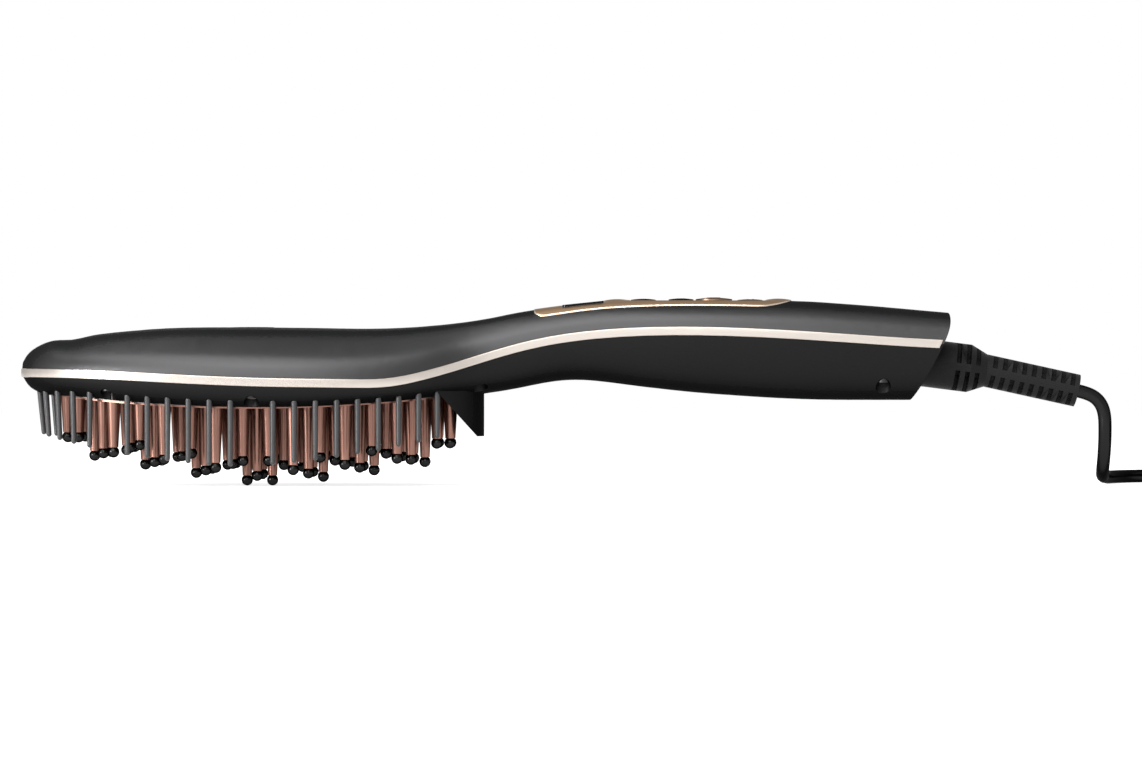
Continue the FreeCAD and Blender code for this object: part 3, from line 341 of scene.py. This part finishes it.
# A drop on the filler plug.
fillerDrop = {
    "radius": 0.0016,
    "point": 0.0021,
    "sharpness": 4,
    "depth": 0.0002,
    "lift": 0.00003,
    "segments": 32,
}


def addFillerDrop(look):
    made = bmesh.new()
    bmesh.ops.create_circle(made, cap_ends=True, radius=look["radius"], segments=look["segments"])
    for vert in made.verts:
        if vert.co.y > 0:
            vert.co.y += look["point"] * (vert.co.y / look["radius"]) ** look["sharpness"]
    grown = bmesh.ops.extrude_face_region(made, geom=made.faces[:])["geom"]
    raised = [item for item in grown if isinstance(item, bmesh.types.BMVert)]
    bmesh.ops.translate(made, verts=raised, vec=(0, 0, look["depth"]))
    bmesh.ops.translate(made, verts=made.verts[:], vec=(0, -look["point"] / 2, -look["depth"] / 2))
    return finishPiece("fillerDrop", made, "paleInk", "filler",
                       markPlace("filler_plug", look["lift"], look["depth"]))


addFillerDrop(fillerDrop)

# Dark crosses set into the heads of the housing screws: painted shade that stands for their cross
# recesses.
crossDrive = {
    "arm": 0.0022,
    "line": 0.0005,
    "depth": 0.0003,
    "lift": 0.00003,
    "turn": 45,
    # each screw of one side: along the brush, out from its middle, lowest point of its head
    "screws": [(-0.13621, 0.02359, 0.02966), (-0.09154, 0.0310, 0.02752), (-0.02214, 0.0115, 0.03183),
               (0.10306, 0.0110, 0.03226)],
}


def addCrossDrives(look):
    made = bmesh.new()
    short = (look["arm"] - look["line"]) / 2
    squareOn = Vector((-1, 1, 0)).normalized()  # at right angles to the turned bar
    for along, out, low in look["screws"]:
        for side in (-1, 1):
            centre = Vector((along, side * out, low - look["lift"] + look["depth"] / 2))
            squareBar(made, centre, look["arm"], look["line"], look["depth"], look["turn"])
            for half in (-1, 1):
                step = squareOn * half * (look["line"] + short) / 2
                squareBar(made, centre + step, look["line"], short, look["depth"], look["turn"])
    # The crosses are painted shade in the colour of the dark print.
    return finishPiece("crossDrives", made, "darkInkAndShade", "brush")


addCrossDrives(crossDrive)
print("new pieces:", len(pieceFinish))

# One moulded surface serves every finish: fine grain, slow drift in tone and gloss, and edges recoloured
# where the rounded normal bends, which is wear on most finishes, painted shade on the band and a painted
# highlight on the panel.
surfaceDetail = {
    "driftDetail": 4,
    "grainDetail": 2,
    "grainShare": 0.35,     # of the grain in the gloss, beside the drift
    "glossLow": 0.4,
    "glossHigh": 0.95,
    "grainHeight": 0.0002,
    "edgeSamples": 4,
    "edgeLow": 0.96,        # how nearly the rounded normal agrees with the true one where the edge tone starts
    "edgeHigh": 0.75,
}


def newGroup(name, inputs, outputs):
    group = bpy.data.node_groups.new(name, "ShaderNodeTree")
    for label, kind, value in inputs:
        socket = group.interface.new_socket(name=label, in_out="INPUT", socket_type=kind)
        socket.default_value = value
    for label, kind in outputs:
        group.interface.new_socket(name=label, in_out="OUTPUT", socket_type=kind)
    return group, group.nodes.new("NodeGroupInput"), group.nodes.new("NodeGroupOutput")


def mathNode(group, operation):
    node = group.nodes.new("ShaderNodeMath")
    node.operation = operation
    return node


def colorMix(group):
    node = group.nodes.new("ShaderNodeMix")
    node.data_type = "RGBA"
    return node


def mouldedSurface(detail):
    group, start, end = newGroup("mouldedSurface", [
        ("Dark", "NodeSocketColor", (0.02, 0.02, 0.02, 1)),
        ("Light", "NodeSocketColor", (0.03, 0.03, 0.03, 1)),
        ("Smooth", "NodeSocketFloat", 0.3),
        ("Rough", "NodeSocketFloat", 0.4),
        ("Drift Scale", "NodeSocketFloat", 20.0),
        ("Grain Scale", "NodeSocketFloat", 1500.0),
        ("Grain Depth", "NodeSocketFloat", 0.05),
        ("Edge Radius", "NodeSocketFloat", 0.0002),
        ("Edge Wear And Painted Light Color", "NodeSocketColor", (0.05, 0.05, 0.05, 1)),
        ("Edge Wear And Painted Light", "NodeSocketFloat", 0.3),
    ], [("Color", "NodeSocketColor"), ("Roughness", "NodeSocketFloat"), ("Normal", "NodeSocketVector")])
    link = group.links.new
    place = group.nodes.new("ShaderNodeTexCoord")
    drift = group.nodes.new("ShaderNodeTexNoise")
    drift.inputs["Detail"].default_value = detail["driftDetail"]
    grain = group.nodes.new("ShaderNodeTexNoise")
    grain.inputs["Detail"].default_value = detail["grainDetail"]
    link(place.outputs["Object"], drift.inputs["Vector"])
    link(place.outputs["Object"], grain.inputs["Vector"])
    link(start.outputs["Drift Scale"], drift.inputs["Scale"])
    link(start.outputs["Grain Scale"], grain.inputs["Scale"])

    tone = colorMix(group)
    link(drift.outputs["Fac"], tone.inputs["Factor"])
    link(start.outputs["Dark"], tone.inputs["A"])
    link(start.outputs["Light"], tone.inputs["B"])

    both = mathNode(group, "MULTIPLY_ADD")
    both.inputs[1].default_value = detail["grainShare"]
    gloss = group.nodes.new("ShaderNodeMapRange")
    gloss.inputs["From Min"].default_value = detail["glossLow"]
    gloss.inputs["From Max"].default_value = detail["glossHigh"]
    link(grain.outputs["Fac"], both.inputs[0])
    link(drift.outputs["Fac"], both.inputs[2])
    link(both.outputs["Value"], gloss.inputs["Value"])
    link(start.outputs["Smooth"], gloss.inputs["To Min"])
    link(start.outputs["Rough"], gloss.inputs["To Max"])

    rounded = group.nodes.new("ShaderNodeBevel")
    rounded.samples = detail["edgeSamples"]
    bump = group.nodes.new("ShaderNodeBump")
    bump.inputs["Distance"].default_value = detail["grainHeight"]
    link(start.outputs["Edge Radius"], rounded.inputs["Radius"])
    link(grain.outputs["Fac"], bump.inputs["Height"])
    link(start.outputs["Grain Depth"], bump.inputs["Strength"])
    link(rounded.outputs["Normal"], bump.inputs["Normal"])

    # Edges take the edge tone: wear on most finishes, painted shade on the band, a painted highlight on
    # the panel.
    geometry = group.nodes.new("ShaderNodeNewGeometry")
    bend = group.nodes.new("ShaderNodeVectorMath")
    bend.operation = "DOT_PRODUCT"
    edge = group.nodes.new("ShaderNodeMapRange")
    edge.inputs["From Min"].default_value = detail["edgeLow"]
    edge.inputs["From Max"].default_value = detail["edgeHigh"]
    edgeWearAndPaintedLight = mathNode(group, "MULTIPLY")
    patchy = mathNode(group, "MULTIPLY")
    edgesWornAndPainted = colorMix(group)
    link(rounded.outputs["Normal"], bend.inputs[0])
    link(geometry.outputs["Normal"], bend.inputs[1])
    link(bend.outputs["Value"], edge.inputs["Value"])
    link(edge.outputs["Result"], edgeWearAndPaintedLight.inputs[0])
    link(start.outputs["Edge Wear And Painted Light"], edgeWearAndPaintedLight.inputs[1])
    link(edgeWearAndPaintedLight.outputs["Value"], patchy.inputs[0])
    link(drift.outputs["Fac"], patchy.inputs[1])
    link(patchy.outputs["Value"], edgesWornAndPainted.inputs["Factor"])
    link(tone.outputs["Result"], edgesWornAndPainted.inputs["A"])
    link(start.outputs["Edge Wear And Painted Light Color"], edgesWornAndPainted.inputs["B"])

    link(edgesWornAndPainted.outputs["Result"], end.inputs["Color"])
    link(gloss.outputs["Result"], end.inputs["Roughness"])
    link(bump.outputs["Normal"], end.inputs["Normal"])
    return group


surfaceGroup = mouldedSurface(surfaceDetail)

# What a finish has unless it says otherwise. Edges wear to the light tone times wornLift, unless a
# finish gives its own edge tone: painted shade on the band, a painted highlight on the panel.
usualFinish = {"metal": 0.0, "specular": 0.5, "edge": 1.0, "radius": 0.0002, "wearAndPaintedLight": 0.3}
wornLift = 1.8

finishes = {
    "satinShell": {"dark": (0.042, 0.042, 0.043), "light": (0.050, 0.050, 0.051), "smooth": 0.36,
                   "rough": 0.42, "drift": 14, "grain": 2600, "depth": 0.04, "specular": 0.3,
                   "metal": 0.95, "edge": 0.0, "wearAndPaintedLight": 0.1},
    "mattShell": {"dark": (0.011, 0.011, 0.011), "light": (0.014, 0.014, 0.014), "smooth": 0.46,
                  "rough": 0.54, "drift": 14, "grain": 2600, "depth": 0.05, "specular": 0.06,
                  "metal": 0.92, "edge": 0.0, "wearAndPaintedLight": 0.1},
    # The band's rims take a darker tan edge tone: painted shade along its edges.
    "roseBand": {"dark": (0.425, 0.382, 0.348), "light": (0.495, 0.452, 0.414), "smooth": 0.26,
                 "rough": 0.32, "drift": 9, "grain": 2400, "depth": 0.01, "metal": 1.0, "edge": 0.6,
                 "radius": 0.0005, "edgeWearAndPaintedLight": (0.34, 0.26, 0.20), "wearAndPaintedLight": 1.2},
    # The panel's rims take a near-white edge tone at strong wear: a painted highlight along its edges.
    "roseGold": {"dark": (0.38, 0.26, 0.165), "light": (0.46, 0.32, 0.21), "smooth": 0.26,
                 "rough": 0.34, "drift": 12, "grain": 2400, "depth": 0.01, "metal": 1.0, "edge": 0.3,
                 "radius": 0.0009, "edgeWearAndPaintedLight": (0.98, 0.93, 0.86), "wearAndPaintedLight": 2.4},
    "roseButton": {"dark": (0.16, 0.095, 0.06), "light": (0.21, 0.13, 0.085), "smooth": 0.34,
                   "rough": 0.42, "drift": 30, "grain": 2400, "depth": 0.01, "metal": 1.0,
                   "edge": 0.1, "radius": 0.0},
    "darkWindow": {"dark": (0.014, 0.014, 0.015), "light": (0.018, 0.018, 0.019), "smooth": 0.05,
                   "rough": 0.09, "drift": 30, "grain": 900, "depth": 0.01, "metal": 1.0,
                   "edge": 0.0},
    "blackRubber": {"dark": (0.010, 0.010, 0.010), "light": (0.014, 0.014, 0.014), "smooth": 0.42,
                    "rough": 0.54, "drift": 40, "grain": 2200, "depth": 0.04, "specular": 0.05,
                    "radius": 0.0},
    "cordRubber": {"dark": (0.014, 0.014, 0.014), "light": (0.019, 0.019, 0.019), "smooth": 0.22,
                   "rough": 0.30, "drift": 40, "grain": 2200, "depth": 0.02, "metal": 0.95,
                   "edge": 0.0, "radius": 0.0},
    "mattButton": {"dark": (0.006, 0.006, 0.006), "light": (0.009, 0.009, 0.009), "smooth": 0.42,
                   "rough": 0.52, "drift": 60, "grain": 2400, "depth": 0.03, "specular": 0.0,
                   "radius": 0.0},
    "darkSteel": {"dark": (0.022, 0.022, 0.023), "light": (0.036, 0.036, 0.037), "smooth": 0.3,
                  "rough": 0.45, "drift": 300, "grain": 3000, "depth": 0.05, "metal": 1.0,
                  "edge": 0.0},
    "copperPlate": {"dark": (0.168, 0.086, 0.067), "light": (0.242, 0.130, 0.102), "smooth": 0.28,
                    "rough": 0.33, "drift": 60, "grain": 900, "depth": 0.0, "metal": 0.95,
                    "edge": 0.0, "radius": 0.0},
    "silverFrame": {"dark": (0.085, 0.075, 0.072), "light": (0.125, 0.11, 0.105), "smooth": 0.36,
                    "rough": 0.46, "drift": 60, "grain": 2000, "depth": 0.02, "metal": 1.0,
                    "edge": 0.0, "radius": 0.0},
    "glossBlack": {"dark": (0.014, 0.014, 0.014), "light": (0.020, 0.020, 0.020), "smooth": 0.08,
                   "rough": 0.13, "drift": 90, "grain": 2500, "depth": 0.02, "metal": 1.0,
                   "edge": 0.0, "radius": 0.0},
    "greyNylon": {"dark": (0.022, 0.022, 0.023), "light": (0.034, 0.034, 0.036), "smooth": 0.28,
                  "rough": 0.38, "drift": 160, "grain": 2600, "depth": 0.06, "specular": 0.35},
    "whiteCeramic": {"dark": (0.72, 0.71, 0.68), "light": (0.82, 0.81, 0.79), "smooth": 0.45,
                     "rough": 0.6, "drift": 120, "grain": 3000, "depth": 0.1},
    "amberFilm": {"dark": (0.55, 0.25, 0.03), "light": (0.68, 0.34, 0.05), "smooth": 0.15,
                  "rough": 0.25, "drift": 60, "grain": 900, "depth": 0.04},
    "steelSheet": {"dark": (0.45, 0.45, 0.46), "light": (0.6, 0.6, 0.6), "smooth": 0.25, "rough": 0.4,
                   "drift": 150, "grain": 2800, "depth": 0.06, "metal": 1.0},
    "blackPlastic": {"dark": (0.008, 0.008, 0.008), "light": (0.014, 0.014, 0.014), "smooth": 0.42,
                     "rough": 0.55, "drift": 80, "grain": 2400, "depth": 0.08, "specular": 0.25},
    "smokedTank": {"dark": (0.075, 0.085, 0.09), "light": (0.105, 0.115, 0.12), "smooth": 0.12,
                   "rough": 0.2, "drift": 60, "grain": 1200, "depth": 0.03, "specular": 0.3},
    "silicone": {"dark": (0.62, 0.62, 0.60), "light": (0.74, 0.74, 0.71), "smooth": 0.35,
                 "rough": 0.5, "drift": 90, "grain": 2200, "depth": 0.05},
    "circuitBoard": {"dark": (0.012, 0.10, 0.035), "light": (0.02, 0.16, 0.05), "smooth": 0.3,
                     "rough": 0.45, "drift": 260, "grain": 1400, "depth": 0.12},
    "leadSleeve": {"dark": (0.5, 0.04, 0.03), "light": (0.62, 0.07, 0.05), "smooth": 0.35,
                   "rough": 0.5, "drift": 120, "grain": 2400, "depth": 0.04},
    "nickelPins": {"dark": (0.26, 0.25, 0.235), "light": (0.34, 0.33, 0.31), "smooth": 0.2,
                   "rough": 0.32, "drift": 200, "grain": 2600, "depth": 0.04, "metal": 1.0},
    "paleInk": {"dark": (0.32, 0.32, 0.31), "light": (0.40, 0.40, 0.39), "smooth": 0.45,
                "rough": 0.6, "drift": 400, "grain": 4000, "depth": 0.05},
    # Dark print on the power button, and painted shade for the cross recesses of the screws.
    "darkInkAndShade": {"dark": (0.010, 0.009, 0.009), "light": (0.016, 0.014, 0.013), "smooth": 0.4,
                "rough": 0.55, "drift": 400, "grain": 4000, "depth": 0.05, "specular": 0.2},
    "dimSegment": {"dark": (0.020, 0.020, 0.021), "light": (0.028, 0.028, 0.029), "smooth": 0.3,
                   "rough": 0.4, "drift": 200, "grain": 4000, "depth": 0.02},
}


def makeFinish(name, ownLook):
    look = {**usualFinish, **ownLook}
    # The edge tone is worn colour, except on the band (painted shade) and the panel (painted highlight).
    edgeWearAndPaintedLight = look.get("edgeWearAndPaintedLight", tuple(min(1.0, tone * wornLift) for tone in look["light"]))
    material = bpy.data.materials.new(name)
    material.use_nodes = True
    tree = material.node_tree
    shader = tree.nodes["Principled BSDF"]
    shader.inputs["Metallic"].default_value = look["metal"]
    shader.inputs["Specular IOR Level"].default_value = look["specular"]
    shader.inputs["Specular Tint"].default_value = (*[look["edge"]] * 3, 1)
    surface = tree.nodes.new("ShaderNodeGroup")
    surface.node_tree = surfaceGroup
    surface.inputs["Dark"].default_value = (*look["dark"], 1)
    surface.inputs["Light"].default_value = (*look["light"], 1)
    surface.inputs["Smooth"].default_value = look["smooth"]
    surface.inputs["Rough"].default_value = look["rough"]
    surface.inputs["Drift Scale"].default_value = look["drift"]
    surface.inputs["Grain Scale"].default_value = look["grain"]
    surface.inputs["Grain Depth"].default_value = look["depth"]
    surface.inputs["Edge Radius"].default_value = look["radius"]
    surface.inputs["Edge Wear And Painted Light Color"].default_value = (*edgeWearAndPaintedLight, 1)
    surface.inputs["Edge Wear And Painted Light"].default_value = look["wearAndPaintedLight"]
    tree.links.new(surface.outputs["Color"], shader.inputs["Base Color"])
    tree.links.new(surface.outputs["Roughness"], shader.inputs["Roughness"])
    tree.links.new(surface.outputs["Normal"], shader.inputs["Normal"])
    return material


materials = {name: makeFinish(name, look) for name, look in finishes.items()}

nodeFinish = {
    "satinShell": ["upper_housing"],
    "mattShell": ["lower_housing"],
    "roseBand": ["trim_band"],
    "roseGold": ["control_panel"],
    "roseButton": ["power_button"],
    "darkWindow": ["display_window"],
    "blackRubber": ["cord_boot", "plug_body", "filler_plug"],
    "darkSteel": ["housing_screws"],
    "copperPlate": ["heater_plate", "heating_teeth"],
    "silverFrame": ["plate_frame"],
    "glossBlack": ["tooth_tips"],
    "mattButton": ["minus_button", "plus_button", "steam_button"],
    "greyNylon": ["guard_bristles", "bristle_rail"],
    "whiteCeramic": ["ceramic_heaters"],
    "amberFilm": ["insulation_sheet"],
    "steelSheet": ["heater_clamp", "clamp_screws", "heat_shield", "thermal_fuse", "steam_chamber",
                   "board_screws", "grip_screws"],
    "blackPlastic": ["temperature_sensor", "steam_pump", "display_module", "button_switches",
                     "cord_grip", "cord_tie"],
    "smokedTank": ["water_tank"],
    "silicone": ["water_tubes"],
    "circuitBoard": ["control_board"],
    "leadSleeve": ["mains_leads", "heater_leads"],
    "nickelPins": ["plug_pins"],
}


def setMaterial(piece, material):
    piece.data.materials.clear()
    piece.data.materials.append(material)


for finish, names in nodeFinish.items():
    for name in names:
        setMaterial(nodes[name], materials[finish])
for piece, finish in pieceFinish.items():
    setMaterial(piece, materials[finish])
print("finishes:", len(materials))

# A white sweep, a pale world and four soft lamps.
studio = {
    "worldStrength": 0.32,
    "backdropStrength": 1.0,
    "floorReach": 3.0,
    "floorDrop": 0.0001,  # keeps the floor clear of the faces that rest on it
    "floorTone": 0.8,
    "floorGlow": 0.72,
}
softboxes = {
    "topSoftbox": {"place": (-0.28, -0.24, 0.98), "aim": (-0.05, 0, 0.03), "width": 1.2,
                   "height": 0.6, "power": 9.5},
    "keySoftbox": {"place": (-0.32, -0.78, 0.72), "aim": (-0.05, 0, 0.03), "width": 1.2,
                   "height": 0.7, "power": 9.0},
    "frontSoftbox": {"place": (-0.25, -1.1, 0.40), "aim": (-0.08, 0, 0.03), "width": 1.2,
                     "height": 0.3, "power": 4.0},
    "sideSoftbox": {"place": (-1.0, -0.75, 0.18), "aim": (-0.05, 0, 0.02), "width": 0.25,
                    "height": 0.5, "power": 17.0},
}


def seenAsBackground(tree):
    # 1 for the rays that see the backdrop: straight, in a reflection or through glass.
    path = tree.nodes.new("ShaderNodeLightPath")
    reflected = mathNode(tree, "MAXIMUM")
    tree.links.new(path.outputs["Is Glossy Ray"], reflected.inputs[0])
    tree.links.new(path.outputs["Is Transmission Ray"], reflected.inputs[1])
    either = mathNode(tree, "MAXIMUM")
    tree.links.new(path.outputs["Is Camera Ray"], either.inputs[0])
    tree.links.new(reflected.outputs["Value"], either.inputs[1])
    return either.outputs["Value"]


def floorWhite():
    # White to the camera and in reflections, and still darker where the brush casts its shadow.
    material = bpy.data.materials.new("floorWhite")
    material.use_nodes = True
    tree = material.node_tree
    tree.nodes.clear()
    out = tree.nodes.new("ShaderNodeOutputMaterial")
    glow = tree.nodes.new("ShaderNodeEmission")
    glow.inputs["Strength"].default_value = studio["floorGlow"]
    plain = tree.nodes.new("ShaderNodeBsdfDiffuse")
    plain.inputs["Color"].default_value = (*[studio["floorTone"]] * 3, 1)
    both = tree.nodes.new("ShaderNodeAddShader")
    mix = tree.nodes.new("ShaderNodeMixShader")
    tree.links.new(glow.outputs["Emission"], both.inputs[0])
    tree.links.new(plain.outputs["BSDF"], both.inputs[1])
    tree.links.new(seenAsBackground(tree), mix.inputs["Fac"])
    tree.links.new(plain.outputs["BSDF"], mix.inputs[1])
    tree.links.new(both.outputs["Shader"], mix.inputs[2])
    tree.links.new(mix.outputs["Shader"], out.inputs["Surface"])
    return material


def addFloor():
    mesh = bpy.data.meshes.new("floor")
    shape = bmesh.new()
    under = Matrix.Translation((0, 0, -studio["floorDrop"]))
    bmesh.ops.create_grid(shape, x_segments=1, y_segments=1, size=studio["floorReach"], matrix=under)
    shape.to_mesh(mesh)
    shape.free()
    floor = bpy.data.objects.new("floor", mesh)
    floor.data.materials.append(floorWhite())
    scene.collection.objects.link(floor)


def setWorld():
    world = bpy.data.worlds.new("studioWorld")
    world.use_nodes = True
    scene.world = world
    tree = world.node_tree
    back = tree.nodes["Background"]
    back.inputs["Color"].default_value = (1, 1, 1, 1)
    strength = tree.nodes.new("ShaderNodeMapRange")
    strength.inputs["To Min"].default_value = studio["worldStrength"]
    strength.inputs["To Max"].default_value = studio["backdropStrength"]
    tree.links.new(seenAsBackground(tree), strength.inputs["Value"])
    tree.links.new(strength.outputs["Result"], back.inputs["Strength"])


def addSoftbox(name, box):
    data = bpy.data.lights.new(name, "AREA")
    data.shape = "RECTANGLE"
    data.size = box["width"]
    data.size_y = box["height"]
    data.energy = box["power"]
    lamp = bpy.data.objects.new(name, data)
    lamp.location = box["place"]
    lamp.rotation_euler = (Vector(box["aim"]) - Vector(box["place"])).to_track_quat("-Z", "Y").to_euler()
    scene.collection.objects.link(lamp)


addFloor()
setWorld()
for name, box in softboxes.items():
    addSoftbox(name, box)
print("floor, world and softboxes:", len(softboxes))

bpy.context.view_layer.update()
